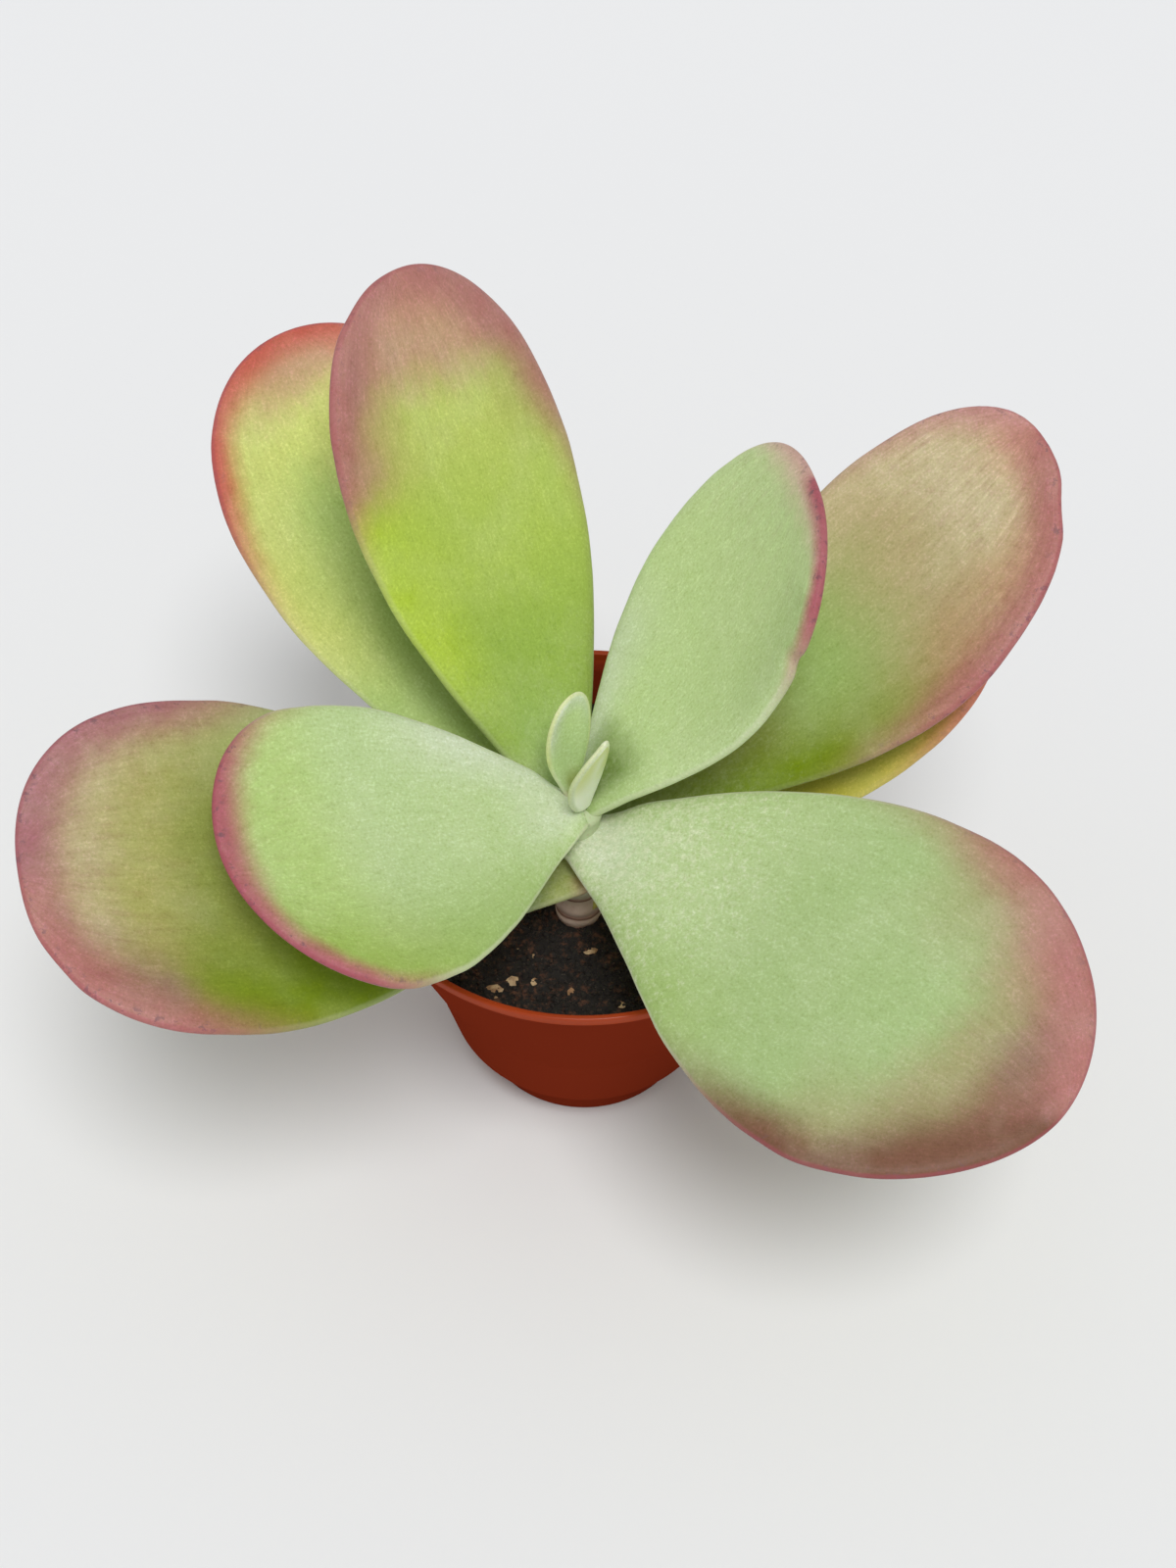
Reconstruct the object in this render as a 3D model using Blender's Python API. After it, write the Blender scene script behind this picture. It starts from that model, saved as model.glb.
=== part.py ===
# Paddle plant in a plain nursery pot: metres, +Z up, the pot's base centred on the world origin.
import math

import bmesh
import bpy
from mathutils import Vector

MM = 0.001

# Pot: half profile outside, from the foot up to the lip
FOOT_RADIUS = 27.7 * MM
FOOT_HEIGHT = 13.0 * MM
WALL_START_RADIUS = 35.5 * MM
WALL_START_HEIGHT = 15.4 * MM
KINK_RADIUS = 40.8 * MM
KINK_HEIGHT = 39.4 * MM
LIP_RADIUS = 58.2 * MM
LIP_HEIGHT = 2.6 * MM
LIP_WALL = 1.7 * MM
POT_HEIGHT = 86.0 * MM
POT_WALL = 1.4 * MM
WALL_TOP_RADIUS = LIP_RADIUS - LIP_WALL + 0.2 * MM
FOOT_RIM = 4.0 * MM
FLOOR_TOP = 4.0 * MM
FOOT_RECESS = 1.2 * MM
CENTRE_PAD = 9.0 * MM
DRAIN_HOLE_RADIUS = 3.0 * MM
DRAIN_HOLE_CIRCLE = 17.0 * MM
DRAIN_HOLES = 6
POT_STEPS = 48

# Soil
SOIL_TOP = 72.0 * MM
SOIL_GAP = 0.3 * MM
SOIL_RELIEF = 0.9 * MM
SOIL_RINGS = 12
SOIL_STEPS = 48
HOLE_DEPTH = 12.0 * MM

# Stem
STEM_X = -1.3 * MM
STEM_Y = -17.0 * MM
STEM_RADIUS = 5.2 * MM
STEM_TOP = 116.0 * MM
STEM_DOME = 3.0 * MM
STEM_FOOT = SOIL_TOP - HOLE_DEPTH + SOIL_GAP
SCAR_BULGE = 0.7 * MM
SCAR_SPACING = 7.0 * MM
LEAF_GAP = 0.45 * MM

# Leaf pairs: height of each pair's node on the stem
NODE_YOUNG = 116.2 * MM
NODE_TOP = 113.0 * MM
NODE_SECOND = 103.5 * MM
NODE_THIRD = 95.0 * MM
NODE_FOURTH = 86.5 * MM
NODE_FIFTH = 79.5 * MM

# Leaf blade: thickness at the root and in the paddle, and the rounding of its margin
ROOT_THICKNESS = 4.8 * MM
BLADE_THICKNESS = 4.6 * MM
TIP_THICKNESS = 3.6 * MM
MARGIN_ROUNDING = 2.6 * MM
ROLL_START = 0.12
COLUMNS = (0.0, 0.36, 0.68, 0.9, 0.975, 1.0)


def clear_scene():
    for item in list(bpy.data.objects):
        bpy.data.objects.remove(item, do_unlink=True)


def make_material(name, colour, roughness):
    material = bpy.data.materials.new(name)
    material.use_nodes = True
    shader = material.node_tree.nodes["Principled BSDF"]
    shader.inputs["Base Color"].default_value = (*colour, 1.0)
    shader.inputs["Roughness"].default_value = roughness
    shader.inputs["Metallic"].default_value = 0.0
    return material


def add_object(name, mesh_data, material):
    item = bpy.data.objects.new(name, mesh_data)
    bpy.context.scene.collection.objects.link(item)
    mesh_data.materials.append(material)
    return item


def mesh_from(name, points, faces):
    mesh = bpy.data.meshes.new(name)
    mesh.from_pydata([tuple(p) for p in points], [], faces)
    mesh.update()
    return mesh


def lathe(name, profile, steps, material):
    # profile runs from the axis at the bottom, round the outside, back to the axis
    work = bmesh.new()
    ring = [work.verts.new((r, 0.0, z)) for r, z in profile]
    edges = [work.edges.new(pair) for pair in zip(ring, ring[1:])]
    bmesh.ops.spin(work, geom=ring + edges, cent=(0, 0, 0), axis=(0, 0, 1),
                   angle=math.tau, steps=steps, use_merge=True)
    bmesh.ops.remove_doubles(work, verts=work.verts, dist=1e-7)
    bmesh.ops.recalc_face_normals(work, faces=work.faces)
    mesh = bpy.data.meshes.new(name)
    work.to_mesh(mesh)
    work.free()
    return add_object(name, mesh, material)


def cylinder_cutter(name, radius, bottom, top, x, y, sides=24):
    work = bmesh.new()
    bmesh.ops.create_cone(work, cap_ends=True, segments=sides, radius1=radius,
                          radius2=radius, depth=top - bottom)
    bmesh.ops.translate(work, verts=work.verts, vec=(x, y, (top + bottom) / 2))
    mesh = bpy.data.meshes.new(name)
    work.to_mesh(mesh)
    work.free()
    cutter = bpy.data.objects.new(name, mesh)
    bpy.context.scene.collection.objects.link(cutter)
    cutter.hide_render = True
    cutter.display_type = "WIRE"
    return cutter


def cut(item, cutter):
    modifier = item.modifiers.new("cut_" + cutter.name, "BOOLEAN")
    modifier.operation = "DIFFERENCE"
    modifier.object = cutter
    modifier.solver = "EXACT"


def pot_outside():
    lip_bottom = POT_HEIGHT - LIP_HEIGHT
    groove = FOOT_RECESS / 2
    return [
        (0.0, 0.0),
        (CENTRE_PAD, 0.0),
        (CENTRE_PAD + groove, FOOT_RECESS),
        (FOOT_RADIUS - FOOT_RIM, FOOT_RECESS),
        (FOOT_RADIUS - FOOT_RIM + groove, 0.0),
        (FOOT_RADIUS - 0.6 * MM, 0.0),
        (FOOT_RADIUS, 0.6 * MM),
        (FOOT_RADIUS + 0.5 * MM, FOOT_HEIGHT),
        (WALL_START_RADIUS - 2.0 * MM, WALL_START_HEIGHT - 1.2 * MM),
        (WALL_START_RADIUS, WALL_START_HEIGHT + 0.8 * MM),
        (KINK_RADIUS - 0.4 * MM, KINK_HEIGHT - 1.5 * MM),
        (KINK_RADIUS + 0.6 * MM, KINK_HEIGHT + 1.5 * MM),
        (WALL_TOP_RADIUS - 0.1 * MM, lip_bottom - 0.3 * MM),
        (LIP_RADIUS - 0.3 * MM, lip_bottom),
        (LIP_RADIUS, lip_bottom + 0.5 * MM),
        (LIP_RADIUS, POT_HEIGHT - 0.5 * MM),
        (LIP_RADIUS - 0.5 * MM, POT_HEIGHT),
    ]


def pot_inside():
    # from the lip down to the floor
    lip_bottom = POT_HEIGHT - LIP_HEIGHT
    flare = (WALL_TOP_RADIUS - KINK_RADIUS) / (lip_bottom - KINK_HEIGHT)
    return [
        (LIP_RADIUS - LIP_WALL + 0.5 * MM, POT_HEIGHT),
        (LIP_RADIUS - LIP_WALL, POT_HEIGHT - 0.5 * MM),
        (WALL_TOP_RADIUS - POT_WALL - flare * 1.5 * MM, lip_bottom - 1.5 * MM),
        (KINK_RADIUS + 0.6 * MM - POT_WALL, KINK_HEIGHT + 1.5 * MM),
        (KINK_RADIUS - 0.4 * MM - POT_WALL, KINK_HEIGHT - 1.5 * MM),
        (WALL_START_RADIUS - POT_WALL, WALL_START_HEIGHT + 1.2 * MM),
        (FOOT_RADIUS - POT_WALL + 0.5 * MM, FOOT_HEIGHT + 0.6 * MM),
        (FOOT_RADIUS - POT_WALL, FLOOR_TOP),
        (0.0, FLOOR_TOP),
    ]


def inner_radius(z):
    # inside of the wall at this height
    walls = pot_inside()[:-1][::-1]
    for (r0, z0), (r1, z1) in zip(walls, walls[1:]):
        if z <= z1:
            return r0 + (r1 - r0) * (z - z0) / (z1 - z0)
    return walls[-1][0]


def make_pot(material):
    pot = lathe("pot", pot_outside() + pot_inside(), POT_STEPS, material)
    for i in range(DRAIN_HOLES):
        turn = math.tau * (i + 0.5) / DRAIN_HOLES
        x = DRAIN_HOLE_CIRCLE * math.cos(turn)
        y = DRAIN_HOLE_CIRCLE * math.sin(turn)
        cutter = cylinder_cutter(f"drain_hole_{i + 1}", DRAIN_HOLE_RADIUS,
                                 -5 * MM, FLOOR_TOP + 5 * MM, x, y)
        cut(pot, cutter)
    return pot


def soil_height(x, y):
    # a low uneven surface, a little raised round the stem
    waves = (math.sin(x * 310 + 1.3) * math.cos(y * 270 - 0.6) + 0.6 * math.sin(x * 620 - y * 540)) / 1.6
    near_stem = math.exp(-(((x - STEM_X) ** 2 + (y - STEM_Y) ** 2) / (14 * MM) ** 2))
    return SOIL_TOP + SOIL_RELIEF * (waves + near_stem)


def make_soil(material):
    bends = [z for _, z in pot_inside()][::-1]
    heights = [FLOOR_TOP + SOIL_GAP] + [z for z in bends if FLOOR_TOP < z < SOIL_TOP - 3 * MM] + [SOIL_TOP - 3 * MM]
    rings = []
    for z in heights:
        radius = inner_radius(z) - SOIL_GAP - 0.25 * MM
        rings.append([(radius, z, i) for i in range(SOIL_STEPS)])
    points = [(0.0, 0.0, heights[0])]
    faces = []
    for ring in rings:
        for radius, z, i in ring:
            turn = math.tau * i / SOIL_STEPS
            points.append((radius * math.cos(turn), radius * math.sin(turn), z))
    top_radius = inner_radius(SOIL_TOP - 1.5 * MM) - SOIL_GAP - 0.25 * MM
    for k in range(SOIL_RINGS):
        radius = top_radius * (1 - k / SOIL_RINGS)
        for i in range(SOIL_STEPS):
            turn = math.tau * i / SOIL_STEPS
            x = radius * math.cos(turn)
            y = radius * math.sin(turn)
            points.append((x, y, soil_height(x, y)))
    points.append((0.0, 0.0, soil_height(0.0, 0.0)))
    rows = len(heights) + SOIL_RINGS
    for i in range(SOIL_STEPS):
        j = (i + 1) % SOIL_STEPS
        faces.append((0, 1 + j, 1 + i))
        for row in range(rows - 1):
            a = 1 + row * SOIL_STEPS
            faces.append((a + i, a + j, a + SOIL_STEPS + j))
            faces.append((a + i, a + SOIL_STEPS + j, a + SOIL_STEPS + i))
        last = 1 + (rows - 1) * SOIL_STEPS
        faces.append((last + i, last + j, len(points) - 1))
    soil = add_object("soil", mesh_from("soil", points, faces), material)
    hole = cylinder_cutter("stem_hole", STEM_RADIUS + 0.5 * MM, SOIL_TOP - HOLE_DEPTH,
                           SOIL_TOP + 10 * MM, STEM_X, STEM_Y, 32)
    cut(soil, hole)
    return soil


def stem_radius(z):
    # rings left by fallen leaves below the lowest pair, smooth among the leaves
    if z > NODE_FIFTH - 4 * MM or z < SOIL_TOP:
        return STEM_RADIUS
    phase = (z - SOIL_TOP) / SCAR_SPACING
    return STEM_RADIUS + SCAR_BULGE * math.sin(math.pi * phase) ** 4


def make_stem(material):
    steps = 20
    levels = 27
    points = [(STEM_X, STEM_Y, STEM_FOOT)]
    faces = []
    for k in range(levels):
        z = STEM_FOOT + (STEM_TOP - STEM_FOOT) * k / (levels - 1)
        radius = stem_radius(z)
        dome = max(0.0, (z - (STEM_TOP - STEM_DOME)) / STEM_DOME)
        radius *= math.sqrt(max(0.05, 1 - dome ** 2))
        for i in range(steps):
            turn = math.tau * i / steps
            points.append((STEM_X + radius * math.cos(turn), STEM_Y + radius * math.sin(turn), z))
    points.append((STEM_X, STEM_Y, STEM_TOP + 0.3 * MM))
    for i in range(steps):
        j = (i + 1) % steps
        faces.append((0, 1 + j, 1 + i))
        for row in range(levels - 1):
            a = 1 + row * steps
            faces.append((a + i, a + j, a + steps + j, a + steps + i))
        last = 1 + (levels - 1) * steps
        faces.append((last + i, last + j, len(points) - 1))
    return add_object("stem", mesh_from("stem", points, faces), material)


class Leaf:
    # one paddle leaf: lengths in millimetres, angles in degrees, shares of the length for the rest

    def __init__(self, name, node, azimuth, rise, bend, roll, twist, length, left, right,
                 widest=0.67, tip=2.1, taper=1.4, root=0.21, cup=0.2, sweep=0.0, curl=0.0, thick=1.0, reach=0.0):
        self.name = name
        self.node = node
        self.azimuth = math.radians(azimuth)
        self.rise = math.radians(rise)
        self.bend = math.radians(bend if bend else 0.01)
        self.roll = math.radians(roll)
        self.twist = math.radians(twist)
        self.length = length * MM
        self.left = left * MM
        self.right = right * MM
        self.widest = widest
        self.tip = tip
        self.taper = taper
        self.root = root
        self.curve = cup / ((left + right) / 2 * MM)
        self.sweep = sweep
        self.curl = curl
        self.thick = thick
        self.reach = reach * MM

    def share(self, s):
        # half width at s as a share of the widest
        if s < self.widest:
            return self.root + (1 - self.root) * math.sin(math.pi / 2 * s / self.widest) ** self.taper
        x = min(1.0, (s - self.widest) / (1 - self.widest))
        return max(0.0, 1 - x ** self.tip) ** (1 / self.tip)

    def local(self, s, y, off):
        # place in the leaf's own frame: out, left, up
        angle = self.rise + self.bend * s
        lift = self.curl * self.length * s ** 3
        out = self.length * (math.sin(angle) - math.sin(self.rise)) / self.bend - math.sin(angle) * lift
        up = -self.length * (math.cos(angle) - math.cos(self.rise)) / self.bend + math.cos(angle) * lift
        g = self.curve * y
        lateral = math.sin(g) / self.curve - math.sin(g) * off
        normal = (1 - math.cos(g)) / self.curve + math.cos(g) * off
        ease = min(1.0, s / ROLL_START)
        roll = self.roll * ease * ease * (3 - 2 * ease) + self.twist * s
        tilt = lateral * math.sin(roll) + normal * math.cos(roll)
        side = lateral * math.cos(roll) - normal * math.sin(roll)
        side += self.sweep * self.length * s ** 2
        return self.reach + out - math.sin(angle) * tilt, side, up + math.cos(angle) * tilt, angle

    def world(self, out, side, up):
        c, d = math.cos(self.azimuth), math.sin(self.azimuth)
        return Vector((STEM_X + out * c - side * d, STEM_Y + out * d + side * c, self.node + up))

    def half_thickness(self, s, from_margin):
        body = BLADE_THICKNESS + (ROOT_THICKNESS - BLADE_THICKNESS) * math.exp(-s * 9)
        body += (TIP_THICKNESS - BLADE_THICKNESS) * s ** 3
        rounding = max(0.0, 1 - from_margin / (MARGIN_ROUNDING * self.thick))
        return self.thick * body / 2 * math.sqrt(1 - rounding ** 2)

    def seat(self, out, side, up, angle):
        # slides a root point along the leaf until it lies on the stem's surface, gap included
        clear = STEM_RADIUS + LEAF_GAP
        reach = math.sqrt(max(clear ** 2 - side ** 2, (0.5 * clear) ** 2))
        shift = (reach - out) / math.cos(angle)
        return out + shift * math.cos(angle), side, up + shift * math.sin(angle)

    def rows(self):
        # shares of the length at which the margin is sampled, closer together round the tip
        start = (STEM_RADIUS + 7 * MM) / self.length if not self.reach else 0.1
        near = [start + (self.widest - start) * k / 9 for k in range(10)]
        far = [self.widest + (1 - self.widest) * math.sin(math.pi / 2 * k / 12) for k in range(1, 13)]
        return near + far[:-1] + [1.0]

    def build(self, material):
        rows = self.rows()
        centre_end = self.widest + 0.62 * (1 - self.widest)
        outline = [(s, self.left * self.share(s), 1) for s in rows[:-1]]
        outline.append((1.0, 0.0, 1))
        outline += [(s, -self.right * self.share(s), -1) for s in rows[-2::-1]]
        seat_s = STEM_RADIUS / self.length if not self.reach else 0.0
        outline.insert(0, (seat_s, self.left * self.share(seat_s), 1))
        outline.append((seat_s, -self.right * self.share(seat_s), -1))
        points = []
        index = {}

        def vertex(key, place):
            if key not in index:
                index[key] = len(points)
                points.append(place)
            return index[key]

        last = len(outline) - 1
        grids = []
        for face in (1, -1):
            grid = []
            for row, (s, y, _) in enumerate(outline):
                middle = min(s, centre_end)
                line = []
                for v in COLUMNS:
                    here = middle + (s - middle) * v
                    across = y * v
                    reach = math.hypot((s - middle) * self.length, y)
                    thick = self.half_thickness(here, (1 - v) * reach)
                    out, side, up, angle = self.local(here, across, face * thick)
                    if row in (0, last) and not self.reach:
                        out, side, up = self.seat(out, side, up, angle)
                    if v == 1.0:
                        key = ("margin", row)
                    elif v == 0.0:
                        key = ("middle", face, round(middle * 1e6))
                    else:
                        key = (face, row, v)
                    line.append(vertex(key, self.world(out, side, up)))
                grid.append(line)
            grids.append(grid)
        faces = []
        for face, grid in zip((1, -1), grids):
            for upper, lower in zip(grid, grid[1:]):
                for k in range(len(COLUMNS) - 1):
                    a, b, c, d = upper[k], upper[k + 1], lower[k + 1], lower[k]
                    for tri in ((a, b, c), (a, c, d)):
                        if len(set(tri)) == 3:
                            faces.append(tri[::-1] if face == 1 else tri)
        for row, flip in ((0, False), (last, True)):
            top, bottom = grids[0][row], grids[1][row]
            for k in range(len(COLUMNS) - 1):
                a, b, c, d = top[k], top[k + 1], bottom[k + 1], bottom[k]
                for tri in ((a, b, c), (a, c, d)):
                    if len(set(tri)) == 3:
                        faces.append(tri if not flip else tri[::-1])
        mesh = mesh_from(self.name, points, faces)
        work = bmesh.new()
        work.from_mesh(mesh)
        bmesh.ops.recalc_face_normals(work, faces=work.faces)
        work.to_mesh(mesh)
        work.free()
        return add_object(self.name, mesh, material)


LEAVES = (
    Leaf("leaf_front_left", NODE_TOP, azimuth=211, rise=26, bend=-11.5, roll=-27.5, twist=19.5,
         length=94, left=39.5, right=35.5, widest=0.73, tip=1.89, taper=1.13, root=0.14, cup=0.3,
         sweep=0.008, curl=0.023),
    Leaf("leaf_back_right", NODE_TOP, azimuth=37, rise=36, bend=27, roll=-10, twist=-21,
         length=98, left=37.5, right=37, widest=0.655, tip=2.42, taper=1.2, root=0.11, cup=0.12,
         sweep=-0.033),
    Leaf("leaf_back_tall", NODE_SECOND, azimuth=112.5, rise=36.5, bend=24.5, roll=19.5, twist=19,
         length=139, left=39.5, right=37, widest=0.69, tip=2.2, taper=1.32, root=0.11, cup=0.12,
         sweep=0.06, curl=0.002),
    Leaf("leaf_front_right", NODE_SECOND, azimuth=-43, rise=21, bend=-33, roll=36, twist=-26,
         length=137, left=43, right=42.5, widest=0.68, tip=1.85, taper=1.25, root=0.16, cup=0.18,
         sweep=0.035, curl=0.026),
    Leaf("leaf_left", NODE_THIRD, azimuth=200, rise=19.5, bend=0.5, roll=-17, twist=-1.5,
         length=137, left=41.5, right=41, widest=0.665, tip=2.35, taper=1.31, root=0.12, cup=0.32,
         sweep=-0.007, curl=0.018),
    Leaf("leaf_right", NODE_THIRD, azimuth=26, rise=33.5, bend=0, roll=1, twist=4.5,
         length=147, left=29.5, right=39, widest=0.663, tip=2.07, taper=1.96, root=0.15, cup=0.16,
         sweep=0.045, curl=0.025),
    Leaf("leaf_back_left", NODE_FOURTH, azimuth=127, rise=34.5, bend=0, roll=-0.5, twist=-3,
         length=150, left=36, right=35.5, widest=0.706, tip=2.01, taper=1.63, root=0.12, cup=0.3,
         sweep=-0.011, curl=0.004),
    Leaf("leaf_low_right", NODE_FIFTH, azimuth=28.5, rise=27.5, bend=7.5, roll=-3, twist=0,
         length=129, left=36.5, right=36, widest=0.7, tip=2.02, taper=1.77, root=0.16, cup=0.25,
         sweep=0.009, curl=0.002),
    Leaf("leaf_young_back", NODE_YOUNG, azimuth=123, rise=78, bend=0, roll=-2, twist=9,
         length=29.5, left=7.8, right=5.5, widest=0.647, tip=2.18, taper=1.54, root=0.29, cup=0.34,
         sweep=-0.117, curl=0.033, thick=0.4, reach=2),
    Leaf("leaf_young_front", NODE_YOUNG, azimuth=-46, rise=75.5, bend=0, roll=12.5, twist=1,
         length=29, left=4.4, right=8.4, widest=0.565, tip=1.99, taper=0.9, root=0.3, cup=0.39,
         sweep=-0.004, curl=0.022, thick=0.4, reach=2),
)

LEAF_COLOURS = {
    "leaf_front_left": (0.37, 0.50, 0.24),
    "leaf_back_right": (0.36, 0.49, 0.24),
    "leaf_back_tall": (0.40, 0.50, 0.08),
    "leaf_front_right": (0.36, 0.46, 0.22),
    "leaf_left": (0.30, 0.36, 0.12),
    "leaf_right": (0.38, 0.38, 0.17),
    "leaf_back_left": (0.44, 0.50, 0.13),
    "leaf_low_right": (0.46, 0.42, 0.06),
    "leaf_young_back": (0.47, 0.55, 0.32),
    "leaf_young_front": (0.55, 0.64, 0.42),
}


def main():
    clear_scene()
    make_pot(make_material("terracotta_plastic", (0.15, 0.018, 0.006), 0.45))
    make_soil(make_material("potting_soil", (0.012, 0.008, 0.006), 0.95))
    make_stem(make_material("stem_skin", (0.33, 0.33, 0.2), 0.6))
    for leaf in LEAVES:
        leaf.build(make_material(leaf.name + "_skin", LEAF_COLOURS[leaf.name], 0.5))


main()
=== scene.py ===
import math

import bmesh
import bpy
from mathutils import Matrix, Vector, noise


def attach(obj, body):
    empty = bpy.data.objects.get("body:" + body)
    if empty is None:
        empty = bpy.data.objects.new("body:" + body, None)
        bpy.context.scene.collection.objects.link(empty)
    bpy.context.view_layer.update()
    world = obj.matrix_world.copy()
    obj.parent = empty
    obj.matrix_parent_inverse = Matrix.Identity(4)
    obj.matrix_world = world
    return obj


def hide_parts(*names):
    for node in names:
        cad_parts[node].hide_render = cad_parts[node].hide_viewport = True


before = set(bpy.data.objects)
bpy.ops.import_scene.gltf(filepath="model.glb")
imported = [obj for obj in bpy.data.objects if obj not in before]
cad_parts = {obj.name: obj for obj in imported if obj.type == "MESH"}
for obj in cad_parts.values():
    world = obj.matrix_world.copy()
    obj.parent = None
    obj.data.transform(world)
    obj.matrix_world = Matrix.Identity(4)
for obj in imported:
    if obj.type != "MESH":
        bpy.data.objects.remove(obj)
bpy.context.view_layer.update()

mm = 0.001


def paint(red, green, blue):
    # a screen colour, 0 to 255, as the linear colour that shaders take
    shares = [value / 255 for value in (red, green, blue)]
    linear = [c / 12.92 if c <= 0.04045 else ((c + 0.055) / 1.055) ** 2.4 for c in shares]
    return (*linear, 1.0)


# Nodes: numbers in a tree take ordinary operators, every other node comes from Graph.node

class Number:
    def __init__(self, graph, socket):
        self.graph = graph
        self.socket = socket

    def __add__(self, other):
        return self.graph.maths("ADD", self, other)

    def __sub__(self, other):
        return self.graph.maths("SUBTRACT", self, other)

    def __rsub__(self, other):
        return self.graph.maths("SUBTRACT", other, self)

    def __mul__(self, other):
        return self.graph.maths("MULTIPLY", self, other)

    def __truediv__(self, other):
        return self.graph.maths("DIVIDE", self, other)

    def __rtruediv__(self, other):
        return self.graph.maths("DIVIDE", other, self)

    def __pow__(self, other):
        return self.graph.maths("POWER", self, other)

    def __neg__(self):
        return self.graph.maths("MULTIPLY", self, -1.0)

    __radd__ = __add__
    __rmul__ = __mul__

    def clamp(self):
        return self.graph.maths("ADD", self, 0.0, clamp=True)

    def ease(self, start, end):
        # 0 at start, 1 at end, smooth between; start may lie above end
        made = self.graph.node("ShaderNodeMapRange", {"interpolation_type": "SMOOTHSTEP"},
                               {"Value": self, "From Min": start, "From Max": end})
        return Number(self.graph, made.outputs["Result"])


mathsByName = {"sin": "SINE", "cos": "COSINE", "sqrt": "SQRT", "exp": "EXPONENT", "abs": "ABSOLUTE",
               "least": "MINIMUM", "most": "MAXIMUM", "above": "GREATER_THAN"}
for mathsName, mathsKind in mathsByName.items():
    setattr(Number, mathsName, lambda self, *others, kind=mathsKind: self.graph.maths(kind, self, *others))


class Graph:
    def __init__(self, tree):
        self.tree = tree

    def node(self, kind, settings=None, feeds=None):
        made = self.tree.nodes.new(kind)
        for key, value in (settings or {}).items():
            if key == "stops":
                self.stops(made.color_ramp, value)
            else:
                setattr(made, key, value)
        for key, value in (feeds or {}).items():
            self.feed(made.inputs[key], value)
        return made

    def stops(self, ramp, stops):
        while len(ramp.elements) < len(stops):
            ramp.elements.new(1.0)
        for element, (place, colour) in zip(ramp.elements, stops):
            element.position = place
            element.color = colour

    def feed(self, socket, value):
        if isinstance(value, Number):
            value = value.socket
        if isinstance(value, bpy.types.NodeSocket):
            self.tree.links.new(value, socket)
        else:
            socket.default_value = value

    def maths(self, operation, *values, clamp=False):
        settings = {"operation": operation, "use_clamp": clamp}
        made = self.node("ShaderNodeMath", settings, dict(enumerate(values)))
        return Number(self, made.outputs[0])

    def mix(self, share, first, second, blend="MIX"):
        made = self.node("ShaderNodeMix", {"data_type": "RGBA", "blend_type": blend},
                         {0: share, 6: first, 7: second})
        return made.outputs[2]

    def noise(self, vector, scale, detail=2.0, roughness=0.5):
        made = self.node("ShaderNodeTexNoise", None,
                         {"Vector": vector, "Scale": scale, "Detail": detail, "Roughness": roughness})
        return Number(self, made.outputs[0])

    def attribute(self, name):
        made = self.node("ShaderNodeAttribute", {"attribute_name": name})
        return Number(self, made.outputs["Fac"])

    def place(self):
        return self.node("ShaderNodeTexCoord").outputs["Object"]

    def split(self, vector):
        made = self.node("ShaderNodeSeparateXYZ", None, {0: vector})
        return [Number(self, socket) for socket in made.outputs]

    def vector(self, x, y, z):
        return self.node("ShaderNodeCombineXYZ", None, {0: x, 1: y, 2: z}).outputs[0]

    def scaled(self, vector, factor):
        made = self.node("ShaderNodeVectorMath", {"operation": "SCALE"}, {0: vector, "Scale": factor})
        return made.outputs[0]

    def bump(self, shader, strength, distance, height):
        made = self.node("ShaderNodeBump", None,
                         {"Strength": strength, "Distance": distance, "Height": height})
        self.feed(shader.inputs["Normal"], made.outputs[0])


def newMaterial(name):
    material = bpy.data.materials.new(name)
    material.use_nodes = True
    graph = Graph(material.node_tree)
    shader = material.node_tree.nodes["Principled BSDF"]
    return material, graph, shader


def newObject(name, mesh, *materials):
    made = bpy.data.objects.new(name, mesh)
    bpy.context.scene.collection.objects.link(made)
    for material in materials:
        mesh.materials.append(material)
    return made


def meshFrom(work, name):
    # turns a working mesh into a kept one
    mesh = bpy.data.meshes.new(name)
    work.to_mesh(mesh)
    work.free()
    return mesh


def shadeSoft(mesh):
    mesh.polygons.foreach_set("use_smooth", [True] * len(mesh.polygons))


def settle(piece, node=None):
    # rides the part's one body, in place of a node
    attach(piece, "root")
    if node:
        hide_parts(node)
    return piece


# Geometry trees: made once, then run on one object for each set of sizes

def newGeometryTree(name, numbers, others=()):
    tree = bpy.data.node_groups.new(name, "GeometryNodeTree")
    for label in numbers:
        tree.interface.new_socket(name=label, in_out="INPUT", socket_type="NodeSocketFloat")
    for label, kind in others:
        tree.interface.new_socket(name=label, in_out="INPUT", socket_type=kind)
    tree.interface.new_socket(name="Geometry", in_out="OUTPUT", socket_type="NodeSocketGeometry")
    graph = Graph(tree)
    entry = graph.node("NodeGroupInput")
    inputs = {label: Number(graph, entry.outputs[label]) for label in numbers}
    inputs.update({label: entry.outputs[label] for label, _ in others})
    return graph, inputs


def closeTree(graph, geometry, material):
    real = graph.node("GeometryNodeRealizeInstances", None, {0: geometry})
    skin = graph.node("GeometryNodeSetMaterial", None, {"Geometry": real.outputs[0], "Material": material})
    graph.node("NodeGroupOutput", None, {0: skin.outputs[0]})
    return graph.tree


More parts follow.
